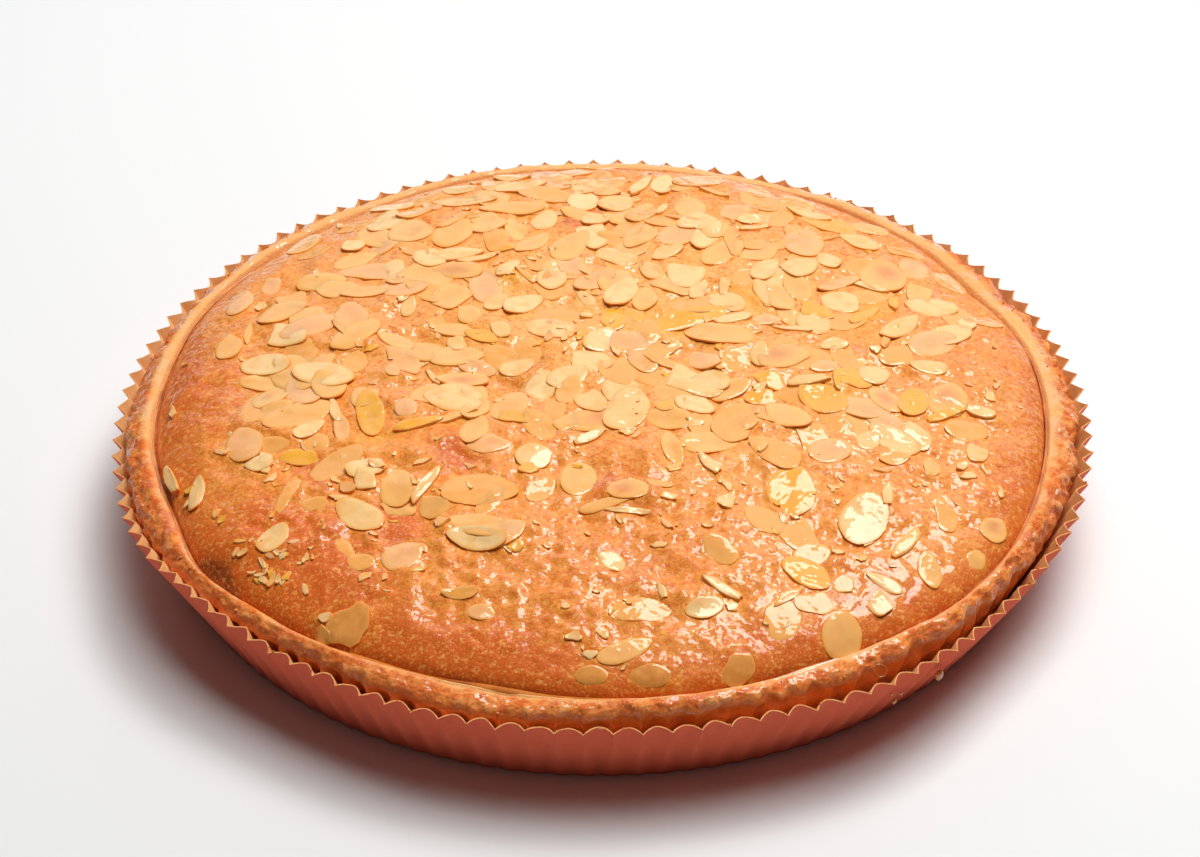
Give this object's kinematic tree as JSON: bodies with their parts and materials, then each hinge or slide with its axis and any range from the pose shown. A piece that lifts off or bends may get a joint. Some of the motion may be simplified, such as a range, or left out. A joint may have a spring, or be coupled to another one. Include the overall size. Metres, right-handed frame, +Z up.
{
  "type": "bakewell tart",
  "caption": "Round almond tart with a domed glazed filling, flaked almonds, a craggy pastry rim and a fluted paper case.",
  "frame": {"origin": "centre of the paper case's flat base, on the surface that the tart stands on", "axes": "+Z up; -Y is the side nearest the picture's camera, +X is to its right"},
  "size_m": [0.25, 0.25, 0.0437],
  "materials": {
    "paper": "matt brick-pink baking paper",
    "crust": "baked shortcrust, matt with patches of glaze",
    "filling": "golden almond sponge under a wet apricot glaze, with cream flaked almonds"
  },
  "bodies": {
    "root": {"paper_case": "paper", "crust": "crust", "filling": "filling"}
  },
  "joints": []
}
